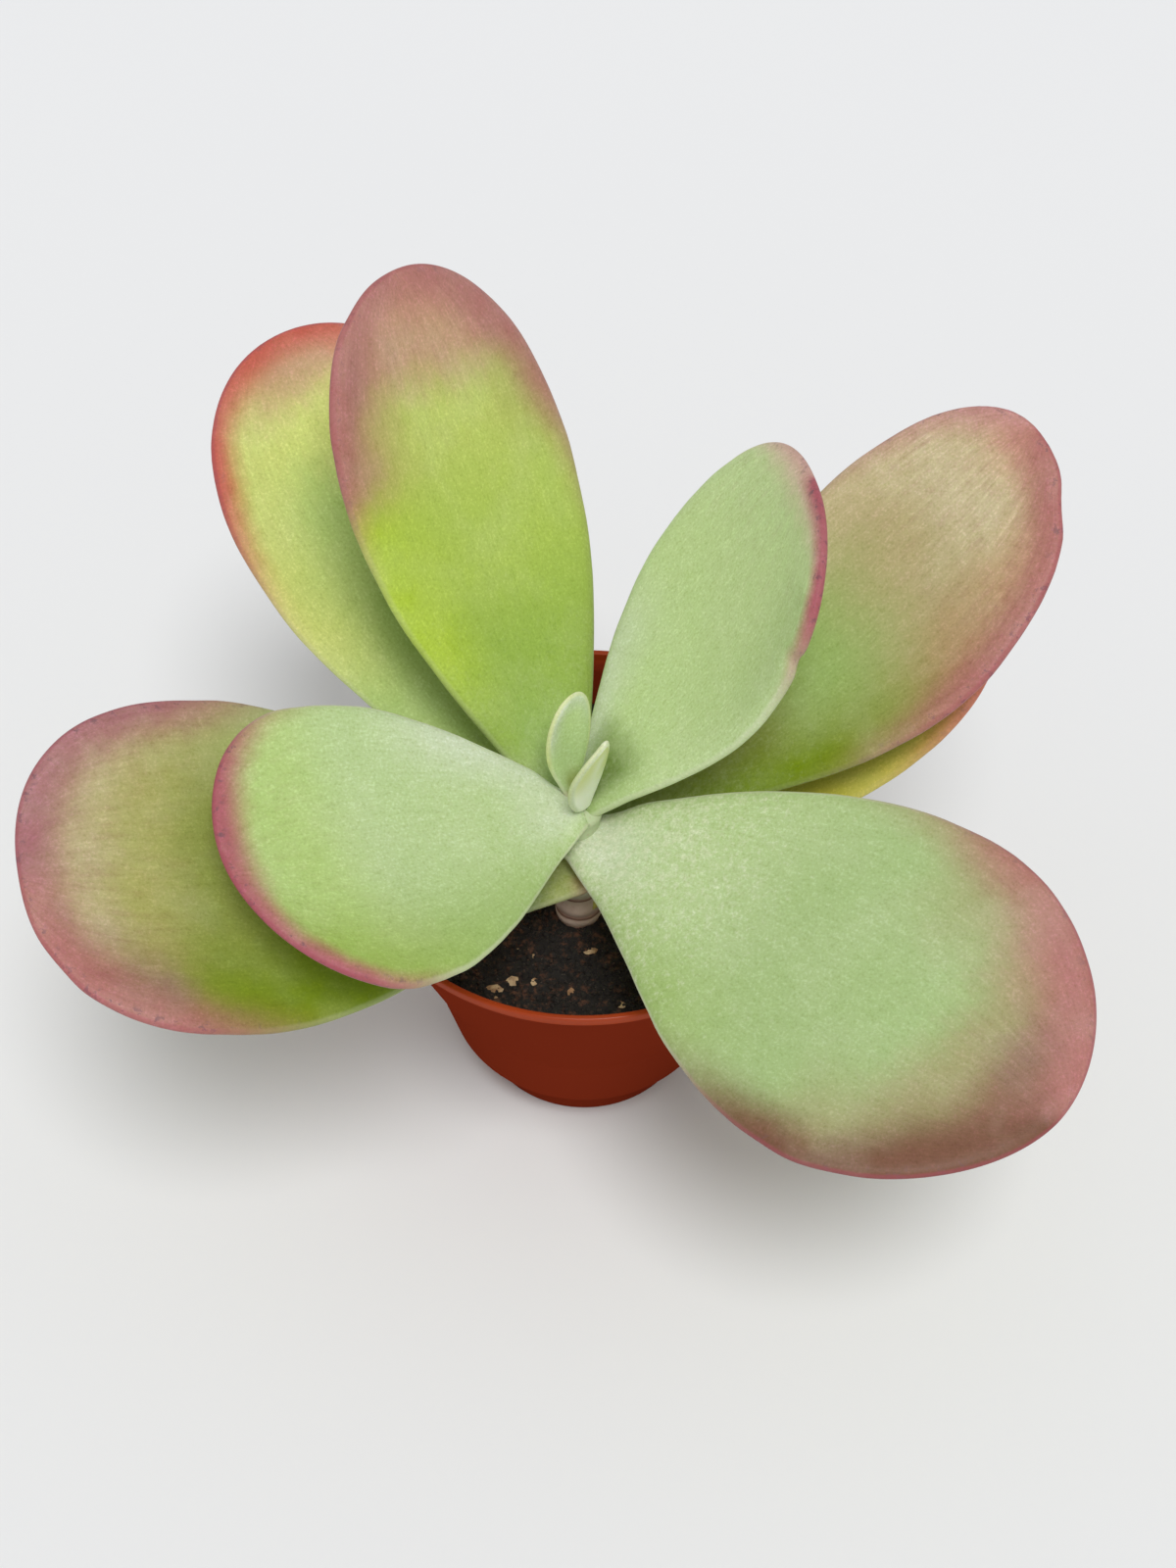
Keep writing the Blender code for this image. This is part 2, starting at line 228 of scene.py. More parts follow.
def runTree(name, tree, values):
    # evaluates the tree with these values and keeps the result as a plain mesh
    host = newObject(name + "_host", bpy.data.meshes.new(name + "_host"))
    modifier = host.modifiers.new(tree.name, "NODES")
    modifier.node_group = tree
    entries = [item for item in tree.interface.items_tree if item.in_out == "INPUT"]
    sockets = {item.name: item.identifier for item in entries}
    for label, value in values.items():
        modifier[sockets[label]] = value
    bpy.context.view_layer.update()
    evaluated = host.evaluated_get(bpy.context.evaluated_depsgraph_get())
    mesh = bpy.data.meshes.new_from_object(evaluated)
    bpy.data.objects.remove(host, do_unlink=True)
    mesh.name = name
    return newObject(name, mesh)


# Leaf blades: one tree makes every leaf from its own sizes

leafShape = {
    "stemX": -1.3 * mm, "stemY": -17.0 * mm,
    "rootThickness": 6.4 * mm, "bladeThickness": 4.6 * mm, "tipThickness": 3.6 * mm,
    "rootFade": 9.0, "tipFade": 3.0,  # how fast the thick root ends, and how late the thin tip starts
    "marginRounding": 4.6 * mm, "rootRounding": 3.0 * mm,
    "flareLength": 0.11, "nickLength": 0.022, "nickSharpness": 2.5, "rollStart": 0.12, "curlPower": 3.0,
    "rows": 84, "columns": 31, "outlinePoints": 401, "lastRow": 0.9999, "weld": 0.004 * mm,
    "unevenness": 0.9 * mm, "unevenScale": 45.0, "calmMargin": 8.0 * mm,
    "marginWander": 0.048, "wanderTurns": 6.5, "wanderDetail": 1.5, "wanderShift": 5.0,
}

leafLabels = ("Node", "Azimuth", "Rise", "Bend", "Roll", "Twist", "Length", "Left", "Right", "Widest",
              "Tip", "Taper", "Root", "Cup", "Sweep", "Curl", "Thick", "Reach", "Flare")
leafAngles = ("Azimuth", "Rise", "Bend", "Roll", "Twist")
leafLengths = ("Node", "Length", "Left", "Right", "Reach", "Flare")


def buildLeafTree(shape):
    labels = leafLabels + ("NickAt", "NickDepth", "Seed")
    graph, given = newGeometryTree("leafBlade", labels, [("Material", "NodeSocketMaterial")])
    length, seed = given["Length"], given["Seed"]
    quarter = math.pi / 2

    def share(s):
        # half width as a share of the widest: a taper from the root, then a rounded paddle to the tip
        rising = (s / given["Widest"]).least(1.0)
        taper = given["Root"] + (1 - given["Root"]) * (rising * quarter).sin() ** given["Taper"]
        x = ((s - given["Widest"]) / (1 - given["Widest"])).clamp()
        return taper * ((1 - x ** given["Tip"]).most(0.0)) ** (1 / given["Tip"])

    def flat(s, y):
        return graph.vector(s * length, y, seed)

    def wander(s, side):
        # the margin's slow waver, different on each side
        place = graph.vector(s * shape["wanderTurns"], side * shape["wanderShift"], seed)
        return 1 + (graph.noise(place, 1.0, shape["wanderDetail"]) - 0.5) * shape["marginWander"]

    def store(geometry, label, value):
        return graph.node("GeometryNodeStoreNamedAttribute", {"data_type": "FLOAT", "domain": "POINT"},
                          {"Geometry": geometry, "Name": label, "Value": value}).outputs[0]

    def stored(label):
        found = graph.node("GeometryNodeInputNamedAttribute", {"data_type": "FLOAT"}, {"Name": label})
        return Number(graph, found.outputs[0])

    def moved(geometry, position):
        return graph.node("GeometryNodeSetPosition", None,
                          {"Geometry": geometry, "Position": position}).outputs[0]

    # a grid, stored as along (0 root, 1 tip) and across (-1 right, 1 left) before any point moves:
    # its rows lie closer towards the tip and its columns closer towards both margins
    grid = graph.node("GeometryNodeMeshGrid", None, {"Size X": 1.0, "Size Y": 2.0,
                      "Vertices X": shape["rows"], "Vertices Y": shape["columns"]})
    position = graph.node("GeometryNodeInputPosition").outputs[0]
    gridX, gridY, _ = graph.split(position)
    kept = store(grid.outputs["Mesh"], "along", ((gridX + 0.5) * quarter).sin())
    kept = store(kept, "across", (gridY * quarter).sin())
    along, across = stored("along"), stored("across")

    def halfWidth(s, side):
        # the clasping root is broader on the left by the flare, and a nick is cut from one margin
        near = s / shape["flareLength"]
        blade = (side * given["Left"] + (1 - side) * given["Right"]) * share(s) * wander(s, side)
        nick = ((s - given["NickAt"].abs()) / shape["nickLength"]).abs()
        nicked = ((side * 2 - 1) * given["NickAt"]).above(0.0)
        return (blade + side * given["Flare"] * (-(near * near)).exp()
                - given["NickDepth"] * (-(nick ** shape["nickSharpness"])).exp() * nicked)

    blade = moved(kept, flat(along, across * halfWidth(along, across.above(0.0))))

    # the flat outline, to measure how far each point lies from the margin
    line = graph.node("GeometryNodeMeshLine", None, {"Count": shape["outlinePoints"]})
    index = Number(graph, graph.node("GeometryNodeInputIndex").outputs[0])
    turn = index * (2 / (shape["outlinePoints"] - 1)) - 1
    lineS = ((1 - turn.abs()) * quarter).sin()
    lineLeft = turn.above(0.0)
    lineY = (lineLeft * 2 - 1) * halfWidth(lineS, lineLeft)
    outline = moved(line.outputs["Mesh"], flat(lineS, lineY))
    near = graph.node("GeometryNodeProximity", {"target_element": "EDGES"}, {0: outline})
    inside = (1 - across.abs().above(shape["lastRow"])) * (1 - along.above(shape["lastRow"]))
    kept = store(blade, "edge", Number(graph, near.outputs["Distance"]) * inside)
    fromMargin = stored("edge")

    # thickness, thin at the tip and rounded off at the margin and the root
    _, lateral, _ = graph.split(position)
    body = (shape["bladeThickness"]
            + (shape["rootThickness"] - shape["bladeThickness"]) * (along * -shape["rootFade"]).exp()
            + (shape["tipThickness"] - shape["bladeThickness"]) * along ** shape["tipFade"])
    atMargin = (1 - fromMargin / (given["Thick"] * shape["marginRounding"])).most(0.0)
    atRoot = (1 - along * length / (given["Thick"] * shape["rootRounding"])).most(0.0)
    rounding = ((1 - atMargin * atMargin) * (1 - atRoot * atRoot)).most(0.0).sqrt()
    half = given["Thick"] * body * 0.5 * rounding
    drift = graph.noise(graph.scaled(position, shape["unevenScale"]), 1.0, 1.0) - 0.5
    uneven = drift * shape["unevenness"] * (fromMargin / shape["calmMargin"]).least(1.0)

    def solid(face):
        # one face of the blade: bent, cupped, rolled and turned to its place on the stem
        off = half * face + uneven
        angle = given["Rise"] + given["Bend"] * along
        lift = given["Curl"] * length * along ** shape["curlPower"]
        out = length * (angle.sin() - given["Rise"].sin()) / given["Bend"] - angle.sin() * lift
        up = angle.cos() * lift - length * (angle.cos() - given["Rise"].cos()) / given["Bend"]
        curve = given["Cup"] * 2 / (given["Left"] + given["Right"])
        g = curve * lateral
        lateralNow = g.sin() / curve - g.sin() * off
        normalNow = (1 - g.cos()) / curve + g.cos() * off
        rolled = (along / shape["rollStart"]).least(1.0)
        roll = given["Roll"] * rolled * rolled * (3 - 2 * rolled) + given["Twist"] * along
        tilt = lateralNow * roll.sin() + normalNow * roll.cos()
        side = lateralNow * roll.cos() - normalNow * roll.sin() + given["Sweep"] * length * along * along
        reach = given["Reach"] + out - angle.sin() * tilt
        rise = given["Node"] + up + angle.cos() * tilt
        c, d = given["Azimuth"].cos(), given["Azimuth"].sin()
        return moved(kept, graph.vector(reach * c - side * d + shape["stemX"],
                                        reach * d + side * c + shape["stemY"], rise))

    top = store(solid(1.0), "under", 0.0)
    below = store(solid(-1.0), "under", 1.0)
    turned = graph.node("GeometryNodeFlipFaces", None, {0: below})
    joined = graph.node("GeometryNodeJoinGeometry")
    graph.feed(joined.inputs[0], top)
    graph.feed(joined.inputs[0], turned.outputs[0])
    welded = graph.node("GeometryNodeMergeByDistance", None,
                        {"Geometry": joined.outputs[0], "Distance": shape["weld"]})
    smooth = graph.node("GeometryNodeSetShadeSmooth", None, {0: welded.outputs[0]})
    return closeTree(graph, smooth.outputs[0], given["Material"])


# millimetres, degrees and shares of the length, in the order of leafLabels
leafSizes = {
    "leaf_front_left": (113, 211, 26, -11.5, -27.5, 19.5, 94, 39.5, 35.5, 0.73,
                        1.89, 1.13, 0.14, 0.3, 0.008, 0.023, 1, 0, 0),
    "leaf_back_right": (113, 37, 36, 27, -10, -21, 98, 37.5, 37, 0.655,
                        2.42, 1.2, 0.11, 0.12, -0.033, 0, 1, 0, 0),
    "leaf_back_tall": (103.5, 112.5, 36.5, 24.5, 19.5, 19, 139, 39.5, 37, 0.69,
                       2.2, 1.32, 0.11, 0.12, 0.06, 0.002, 1, 0, 0),
    "leaf_front_right": (103.5, -43, 21, -33, 36, -26, 137, 43, 42.5, 0.68,
                         1.85, 1.25, 0.16, 0.18, 0.035, 0.026, 1, 0, 0),
    "leaf_left": (95, 200, 19.5, 0.5, -17, -1.5, 137, 41.5, 41, 0.665,
                  2.35, 1.31, 0.12, 0.32, -0.007, 0.018, 1, 0, 6),
    "leaf_right": (95, 26, 33.5, 0.01, 1, 4.5, 147, 29.5, 39, 0.663,
                   2.07, 1.96, 0.15, 0.16, 0.045, 0.025, 1, 0, 0),
    "leaf_back_left": (86.5, 127, 34.5, 0.01, -0.5, -3, 150, 36, 35.5, 0.706,
                       2.01, 1.63, 0.12, 0.3, -0.011, 0.004, 1, 0, 0),
    "leaf_low_right": (79.5, 28.5, 27.5, 7.5, -3, 0, 129, 36.5, 36, 0.7,
                       2.02, 1.77, 0.16, 0.25, 0.009, 0.002, 1, 0, 0),
    "leaf_young_back": (116.2, 123, 78, 0.01, -2, 9, 29.5, 7.8, 5.5, 0.647,
                        2.18, 1.54, 0.29, 0.34, -0.117, 0.033, 0.4, 2, 0),
    "leaf_young_front": (116.2, -46, 75.5, 0.01, 12.5, 1, 29, 4.4, 8.4, 0.565,
                         1.99, 0.9, 0.3, 0.39, -0.004, 0.022, 0.4, 2, 0),
}

# nick in a margin: place along the leaf, plus on the left and minus on the right, and depth
leafNicks = {
    "leaf_back_right": (-0.70, 1.6 * mm), "leaf_right": (-0.955, 1.8 * mm),
    "leaf_left": (0.965, 1.2 * mm), "leaf_back_tall": (0.975, 1.2 * mm),
}

leafPaints = {
    # pale
    # pearl and celadon are painted light, paler than the leaves' own colour, for leaves that catch little
    # light
    "pearlPaintedLight": paint(248, 252, 236), "cream": paint(228, 230, 204), "mint": paint(205, 217, 186),
    "celadonPaintedLight": paint(196, 218, 156), "petal": paint(214, 188, 166), "blond": paint(202, 187, 148),
    # green
    "sage": paint(183, 205, 145), "meadow": paint(166, 190, 128), "fresh": paint(177, 202, 122),
    "leaf": paint(162, 188, 114), "grass": paint(154, 181, 80), "spring": paint(176, 198, 88),
    "vivid": paint(178, 203, 62), "moss": paint(120, 144, 12), "fern": paint(104, 128, 52),
    "shade": paint(112, 132, 70), "olive": paint(146, 156, 78),
    # yellow to tan
    "lemon": paint(192, 206, 106), "straw": paint(206, 214, 124), "yellow": paint(190, 184, 74),
    "khaki": paint(172, 170, 100), "dun": paint(164, 160, 112), "sand": paint(186, 172, 128),
    "tan": paint(180, 140, 104), "bark": paint(140, 102, 80), "umberPaintedShade": paint(122, 84, 64),
    # pink to red
    "peach": paint(196, 158, 124), "pink": paint(194, 142, 134), "salmon": paint(200, 140, 122),
    "coral": paint(204, 124, 100), "brick": paint(176, 100, 72), "ember": paint(192, 96, 80),
    "rose": paint(175, 116, 108), "mauve": paint(166, 110, 112), "plum": paint(172, 98, 104),
    "magenta": paint(160, 74, 88), "scuff": paint(112, 84, 92),
}

# finish of each leaf: colours from root to tip along the middle, the left side and the right side, then
# the blush of the left and right margin: start along the leaf, width in mm, strength and colour
leafFinishes = {
    "leaf_front_left": {
        "middle": ((0.0, "mint"), (0.3, "sage"), (0.6, "sage"), (0.8, "fresh"), (0.9, "fresh"),
                   (1.0, "rose")),
        "left": ((0.0, "sage"), (0.35, "leaf"), (0.8, "grass"), (0.92, "grass"), (1.0, "tan")),
        "right": ((0.3, "mint"), (0.6, "sage"), (0.8, "fresh"), (0.88, "fresh"), (1.0, "rose")),
        "blush": ((0.46, 4.6, 1.0, "plum"), (0.52, 8.0, 1.0, "plum")),
        "rim": 0.45, "line": 0.9, "bloom": 0.25, "scuff": 0.8, "under": "straw",
        "mottle": 0.3, "seed": 1.7,
    },
    # painted light: the blade is painted pale celadon, lighter than its own green, as it is turned from
    # the light
    "leaf_back_right": {
        "middle": ((0.0, "shade"), (0.12, "fern"), (0.26, "celadonPaintedLight"), (0.88, "celadonPaintedLight"), (1.0, "petal")),
        "left": ((0.3, "mint"), (0.6, "celadonPaintedLight"), (0.88, "celadonPaintedLight"), (1.0, "petal")),
        "right": ((0.0, "leaf"), (0.25, "celadonPaintedLight"), (0.8, "sage"), (0.88, "celadonPaintedLight"), (1.0, "petal")),
        "blush": ((0.70, 4.0, 0.8, "pink"), (0.45, 3.4, 1.0, "plum")),
        "rim": 0.35, "line": 0.7, "bloom": 0.12, "scuff": 0.9, "under": "straw",
        "mottle": 0.3, "seed": 4.1,
    },
    "leaf_back_tall": {
        "middle": ((0.0, "mint"), (0.12, "leaf"), (0.3, "grass"), (0.55, "spring"), (0.76, "lemon"),
                   (0.88, "peach"), (1.0, "salmon")),
        "left": ((0.0, "mint"), (0.2, "grass"), (0.4, "vivid"), (0.58, "vivid"), (0.72, "tan"),
                 (0.88, "rose"), (1.0, "salmon")),
        "right": ((0.0, "leaf"), (0.25, "grass"), (0.62, "spring"), (0.76, "khaki"), (0.88, "rose")),
        "blush": ((0.40, 7.0, 1.0, "rose"), (0.35, 11.0, 0.9, "rose")),
        "rim": 0.12, "line": 0.6, "bloom": 0.10, "scuff": 0.4, "under": "straw",
        "mottle": 0.4, "seed": 6.3,
    },
    # painted shade: towards the tip the right side turns umber and bark brown, its rose blush darkened
    # where it lies in shade
    "leaf_front_right": {
        "middle": ((0.0, "mint"), (0.25, "sage"), (0.5, "meadow"), (0.72, "meadow"), (0.82, "dun"),
                   (0.92, "bark"), (1.0, "rose")),
        "left": ((0.0, "leaf"), (0.25, "sage"), (0.55, "meadow"), (0.7, "dun"), (0.85, "rose"),
                 (1.0, "pink")),
        "right": ((0.0, "sage"), (0.35, "leaf"), (0.6, "meadow"), (0.74, "dun"), (0.86, "umberPaintedShade"),
                  (1.0, "bark")),
        "blush": ((0.32, 11.0, 0.9, "rose"), (0.25, 10.0, 1.0, "umberPaintedShade")),
        "rim": 0.45, "line": 0.9, "bloom": 0.6, "scuff": 0.4, "under": "straw",
        "mottle": 0.35, "seed": 8.9,
    },
    "leaf_left": {
        "middle": ((0.0, "tan"), (0.06, "olive"), (0.14, "shade"), (0.4, "moss"), (0.68, "olive"),
                   (0.8, "khaki"), (0.89, "sand"), (1.0, "mauve")),
        "left": ((0.0, "tan"), (0.06, "olive"), (0.14, "shade"), (0.45, "moss"), (0.7, "moss"),
                 (0.82, "bark"), (1.0, "rose")),
        "right": ((0.0, "fern"), (0.5, "leaf"), (0.74, "khaki"), (0.84, "sand"), (1.0, "mauve")),
        "blush": ((0.42, 11.0, 1.0, "rose"), (0.35, 11.0, 1.0, "mauve")),
        "rim": 0.15, "line": 0.6, "bloom": 0.1, "scuff": 0.7, "under": "yellow",
        "mottle": 0.55, "seed": 11.3,
    },
    "leaf_right": {
        "middle": ((0.0, "fern"), (0.35, "olive"), (0.5, "leaf"), (0.72, "sand"), (0.88, "blond"),
                   (1.0, "salmon")),
        "left": ((0.0, "fern"), (0.4, "leaf"), (0.6, "blond"), (0.88, "blond"), (1.0, "pink")),
        "right": ((0.0, "fern"), (0.4, "moss"), (0.52, "olive"), (0.7, "tan"), (0.85, "peach"),
                  (1.0, "rose")),
        "blush": ((0.5, 7.0, 0.8, "pink"), (0.28, 9.0, 1.0, "rose")),
        "rim": 0.06, "line": 0.6, "bloom": 0.15, "scuff": 0.7, "under": "straw",
        "mottle": 0.7, "seed": 13.7,
    },
    # painted light: the left side is painted pale straw where the tall leaf above shades it
    "leaf_back_left": {
        "middle": ((0.0, "fresh"), (0.45, "leaf"), (0.7, "fresh"), (0.85, "straw"), (0.94, "peach"),
                   (1.0, "ember")),
        "left": ((0.35, "fresh"), (0.55, "straw"), (0.88, "straw"), (1.0, "coral")),
        "right": ((0.0, "fresh"), (0.5, "leaf"), (0.8, "khaki"), (0.92, "coral"), (1.0, "ember")),
        "blush": ((0.42, 7.0, 1.0, "ember"), (0.3, 8.0, 1.0, "ember")),
        "rim": 0.15, "line": 0.7, "bloom": 0.06, "scuff": 0.3, "under": "straw",
        "mottle": 0.3, "seed": 17.1,
    },
    "leaf_low_right": {
        "middle": ((0.0, "fern"), (0.5, "olive"), (0.9, "khaki"), (1.0, "brick")),
        "left": ((0.0, "fern"), (0.5, "olive"), (0.85, "olive"), (1.0, "brick")),
        "right": ((0.6, "yellow"), (0.85, "khaki"), (1.0, "brick")),
        "blush": ((0.4, 7.0, 0.9, "brick"), (0.45, 7.0, 1.0, "coral")),
        "rim": 0.06, "line": 0.3, "bloom": 0.05, "scuff": 0.3, "under": "yellow",
        "mottle": 0.3, "seed": 19.9,
    },
    # painted light: the young leaves are painted pearl and celadon, paler than their own colour, as they
    # stand steep and catch little light
    "leaf_young_back": {
        "middle": ((0.0, "tan"), (0.14, "olive"), (0.4, "sage"), (0.8, "celadonPaintedLight"), (1.0, "mint")),
        "left": ((0.0, "tan"), (0.15, "sage"), (0.4, "celadonPaintedLight"), (0.8, "mint"), (1.0, "pearlPaintedLight")),
        "right": ((0.0, "tan"), (0.15, "leaf"), (0.6, "sage"), (1.0, "mint")),
        "blush": ((0.1, 0.8, 0.7, "straw"), (0.1, 0.8, 0.5, "straw")),
        "rim": 0.50, "line": 0.0, "bloom": 0.1, "scuff": 0.0, "under": "sage",
        "mottle": 0.0, "seed": 23.3,
    },
    # painted light: painted nearly white pearl, as the leaf stands steep and catches little light
    "leaf_young_front": {
        "middle": ((0.0, "mint"), (0.3, "pearlPaintedLight"), (1.0, "pearlPaintedLight")),
        "left": ((0.0, "mint"), (1.0, "pearlPaintedLight")),
        "right": ((0.0, "mint"), (1.0, "mint")),
        "blush": ((0.1, 0.8, 0.3, "straw"), (0.1, 0.8, 0.5, "straw")),
        "rim": 0.50, "line": 0.0, "bloom": 0.1, "scuff": 0.0, "under": "pearlPaintedLight",
        "mottle": 0.0, "seed": 29.7,
    },
}


# grain that all leaves share: scale, detail and roughness of each noise, then tints and where they show
leafGrain = {
    "cloud": (55.0, 3.0, 0.55), "patch": (22.0, 2.0), "ragged": (320.0, 3.0, 0.6),
    "felt": (1500.0, 3.0, 0.7), "streak": (1.0, 3.0, 0.65), "fibre": (0.42, 6.0, 0.75),
    "streaksAlong": 20.0, "streaksAcross": 48.0,
    "powder": (620.0, 5.0, 0.75), "powderRange": (0.28, 0.62), "haze": 0.20,
    "blotch": (210.0, 6.0, 0.8), "blotchRange": 0.13, "ripeRange": (0.55, 0.92),
    "dusty": (1.20, 1.27, 1.27, 1.0), "deeper": (0.84, 0.72, 0.78, 1.0),
    "light": (1.34, 1.27, 1.55, 1.0), "lightRange": (0.02, 0.24), "lightShare": 0.62,
    "dark": (0.62, 0.66, 0.42, 1.0), "darkRange": (-0.03, -0.24), "darkShare": 0.42,
    "spots": (420.0, 4.0, 0.75), "spotRange": (0.55, 0.63), "spotReach": (3.4 * mm, 0.4 * mm),
    "sideRange": (0.2, 0.95), "sideBlend": 0.45, "blushLength": 0.42, "blushRange": (1.35, 0.05),
    "rimRange": (0.9 * mm, 0.25 * mm), "rimWaver": 0.4 * mm, "lineShare": 0.6,
    "underBlush": 9.0 * mm, "underReach": (0.3, 0.7), "underShare": 0.8,
    "underEdge": (0.5 * mm, 1.6 * mm),
    "roughness": 0.50, "bump": 0.30, "bumpDepth": 0.25 * mm, "specular": 0.22,
    "subsurface": 0.10, "subsurfaceRadius": (0.6, 1.0, 0.25), "subsurfaceScale": 1.2 * mm,
}


def leafSkin(name, finish, grain):
    material, graph, shader = newMaterial(name + "_skin")
    place = graph.place()
    along, across, edge = graph.attribute("along"), graph.attribute("across"), graph.attribute("edge")
    cloud, patch, ragged, felt = (graph.noise(place, *grain[label]) - 0.5
                                  for label in ("cloud", "patch", "ragged", "felt"))
    lengthwise = graph.vector(along * grain["streaksAlong"], across * grain["streaksAcross"],
                              finish["seed"])
    streak = graph.noise(lengthwise, *grain["streak"]) - 0.5
    fibre = graph.noise(lengthwise, *grain["fibre"]) - 0.5
    where = along + cloud * 0.07 + patch * 0.06 + ragged * 0.03

    def ramp(stops):
        made = graph.node("ShaderNodeValToRGB",
                          {"stops": [(spot, leafPaints[tone]) for spot, tone in stops]}, {0: where})
        made.color_ramp.interpolation = "EASE"
        return made.outputs[0]

    def tinted(colour, share, tint):
        return graph.mix(share, colour, graph.mix(1.0, colour, tint, "MULTIPLY"))

    # ground: the middle's colours, eased into those of each side
    middle, outer = grain["sideRange"]
    drift = across + cloud * 0.25
    colour = ramp(finish["middle"])
    colour = graph.mix(drift.ease(middle, outer), colour, ramp(finish["left"]))
    colour = graph.mix(drift.ease(-middle, -outer), colour, ramp(finish["right"]))

    # blush along both margins, wider and stronger towards the tip
    shares = []
    leftShare = (across + cloud * 0.3).ease(-grain["sideBlend"], grain["sideBlend"])
    for side, (start, width, most, tone) in zip((leftShare, 1 - leftShare), finish["blush"]):
        reach = (along + cloud * 0.10).ease(start, start + grain["blushLength"])
        band = edge / (width * mm) + ragged * 0.30 + cloud * 0.6 + (1 - reach)
        shares.append(band.ease(*grain["blushRange"]) * reach * side * most)
        colour = graph.mix(shares[-1], colour, leafPaints[tone])
    blushed = shares[0] + shares[1]

    # white bloom near the root, and a faint haze in clouds
    bloom = graph.noise(place, *grain["powder"]) + patch * 0.3 + along * -0.55
    powder = bloom.ease(*grain["powderRange"]) * finish["bloom"]
    colour = graph.mix(powder, colour, leafPaints["cream"])
    colour = graph.mix((cloud * 1.6 + 0.1).clamp() * grain["haze"], colour, leafPaints["cream"])

    # mottle where the leaf is ripe, towards its tip and in the blush: dusty and deeper blotches in fibres
    ripe = (blushed + where.ease(*grain["ripeRange"])).clamp() * finish["mottle"]
    blotch = fibre * 0.6 + (graph.noise(place, *grain["blotch"]) - 0.5) * 0.6
    colour = tinted(colour, blotch.ease(0.0, grain["blotchRange"]) * ripe, grain["dusty"])
    colour = tinted(colour, blotch.ease(0.0, -grain["blotchRange"]) * ripe, grain["deeper"])

    # a felt of light and dark flecks all over, and scuffs near the blushed margins
    flecks = felt * 1.15 + ragged * 0.35 + streak * 0.45
    colour = tinted(colour, flecks.ease(*grain["lightRange"]) * grain["lightShare"], grain["light"])
    colour = tinted(colour, flecks.ease(*grain["darkRange"]) * grain["darkShare"], grain["dark"])
    spots = graph.noise(place, *grain["spots"]).ease(*grain["spotRange"]) * edge.ease(*grain["spotReach"])
    colour = graph.mix(spots * blushed.clamp() * finish["scuff"], colour, leafPaints["scuff"])

    # the margin itself: pale where green, a thin deeper line where blushed
    rim = (edge + ragged * grain["rimWaver"]).ease(*grain["rimRange"])
    colour = graph.mix(rim * (1 - blushed).clamp() * finish["rim"], colour, leafPaints["cream"])
    line = rim * blushed.clamp() * finish["line"] * grain["lineShare"]
    colour = graph.mix(line, colour, leafPaints["magenta"])

    # the plainer underside, with its own blush
    underBlush = (edge / grain["underBlush"] + cloud).ease(1.0, 0.1) * along.ease(*grain["underReach"])
    below = graph.mix(underBlush * grain["underShare"],
                      leafPaints[finish["under"]], leafPaints[finish["blush"][0][3]])
    below = graph.mix(flecks.ease(0.03, 0.24) * 0.2, below, leafPaints["cream"])
    colour = graph.mix(graph.attribute("under") * edge.ease(*grain["underEdge"]), colour, below)

    graph.feed(shader.inputs["Base Color"], colour)
    graph.feed(shader.inputs["Roughness"], (grain["roughness"] + cloud * 0.14 + powder * 0.2).clamp())
    graph.bump(shader, grain["bump"], grain["bumpDepth"], felt * 0.5 + ragged + cloud * 1.5)
    shader.inputs["Subsurface Weight"].default_value = grain["subsurface"]
    shader.inputs["Subsurface Radius"].default_value = grain["subsurfaceRadius"]
    shader.inputs["Subsurface Scale"].default_value = grain["subsurfaceScale"]
    shader.inputs["Specular IOR Level"].default_value = grain["specular"]
    return material


leafTree = buildLeafTree(leafShape)
for leafName, sizes in leafSizes.items():
    values = dict(zip(leafLabels, map(float, sizes)))
    values.update({label: math.radians(values[label]) for label in leafAngles})
    values.update({label: values[label] * mm for label in leafLengths})
    values["NickAt"], values["NickDepth"] = leafNicks.get(leafName, (0.5, 0.0))
    values["Seed"] = leafFinishes[leafName]["seed"]
    values["Material"] = leafSkin(leafName, leafFinishes[leafName], leafGrain)
    settle(runTree(leafName + "_blade", leafTree, values), node=leafName)
print("leaves made:", len(leafSizes))


# Pot

potSizes = {
    "height": 86.0 * mm, "wall": 1.4 * mm, "footRadius": 27.7 * mm, "footHeight": 13.0 * mm,
    "wallStartRadius": 35.5 * mm, "wallStart": 15.4 * mm, "kinkRadius": 40.8 * mm, "kinkHeight": 39.4 * mm,
    "lipRadius": 58.2 * mm, "lipHeight": 2.6 * mm, "lipWall": 1.7 * mm, "footRim": 4.0 * mm,
    "floorTop": 4.0 * mm, "footRecess": 1.2 * mm, "centrePad": 9.0 * mm, "corner": 0.6 * mm,
    "kinkIn": 0.4 * mm, "kinkOut": 0.6 * mm, "kinkSpread": 1.5 * mm,
    "holes": 6, "holeRadius": 3.0 * mm, "holeCircle": 17.0 * mm, "holeSides": 32, "holeCut": 20.0 * mm,
    "steps": 192, "crisp": 40,
}


def lathe(name, profile, steps, *materials):
    # profile runs from the axis at the bottom, round the outside, and back to the axis
    work = bmesh.new()
    ring = [work.verts.new((r, 0.0, z)) for r, z in profile]
    edges = [work.edges.new(pair) for pair in zip(ring, ring[1:])]
    bmesh.ops.spin(work, geom=ring + edges, cent=(0, 0, 0), axis=(0, 0, 1),
                   angle=math.tau, steps=steps, use_merge=True)
    bmesh.ops.remove_doubles(work, verts=work.verts, dist=0.002 * mm)
    bmesh.ops.recalc_face_normals(work, faces=work.faces)
    return newObject(name, meshFrom(work, name), *materials)


